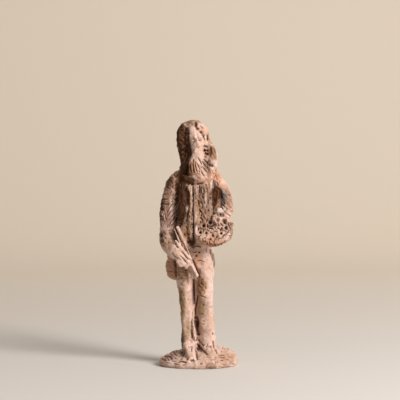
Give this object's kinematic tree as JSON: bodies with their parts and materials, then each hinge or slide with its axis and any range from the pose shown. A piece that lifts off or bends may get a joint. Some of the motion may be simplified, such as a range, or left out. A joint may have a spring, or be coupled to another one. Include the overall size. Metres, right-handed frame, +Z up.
{
  "type": "terracotta figurine",
  "caption": "Hand-modelled standing figurine of a bearded wayfarer in a long coat, holding sticks and a round basket, on a low oval mound.",
  "frame": {"origin": "centre of the bounding box's underside, on the flat underside of the mound", "axes": "+Z up, the figure faces -Y, +X towards the figure's left hand and its basket"},
  "size_m": [0.0584, 0.0459, 0.1799],
  "materials": {
    "terracotta": "unglazed fired clay, matt, pinkish buff with grey and soot-brown patches"
  },
  "bodies": {
    "root": {"figure": "terracotta"}
  },
  "joints": []
}
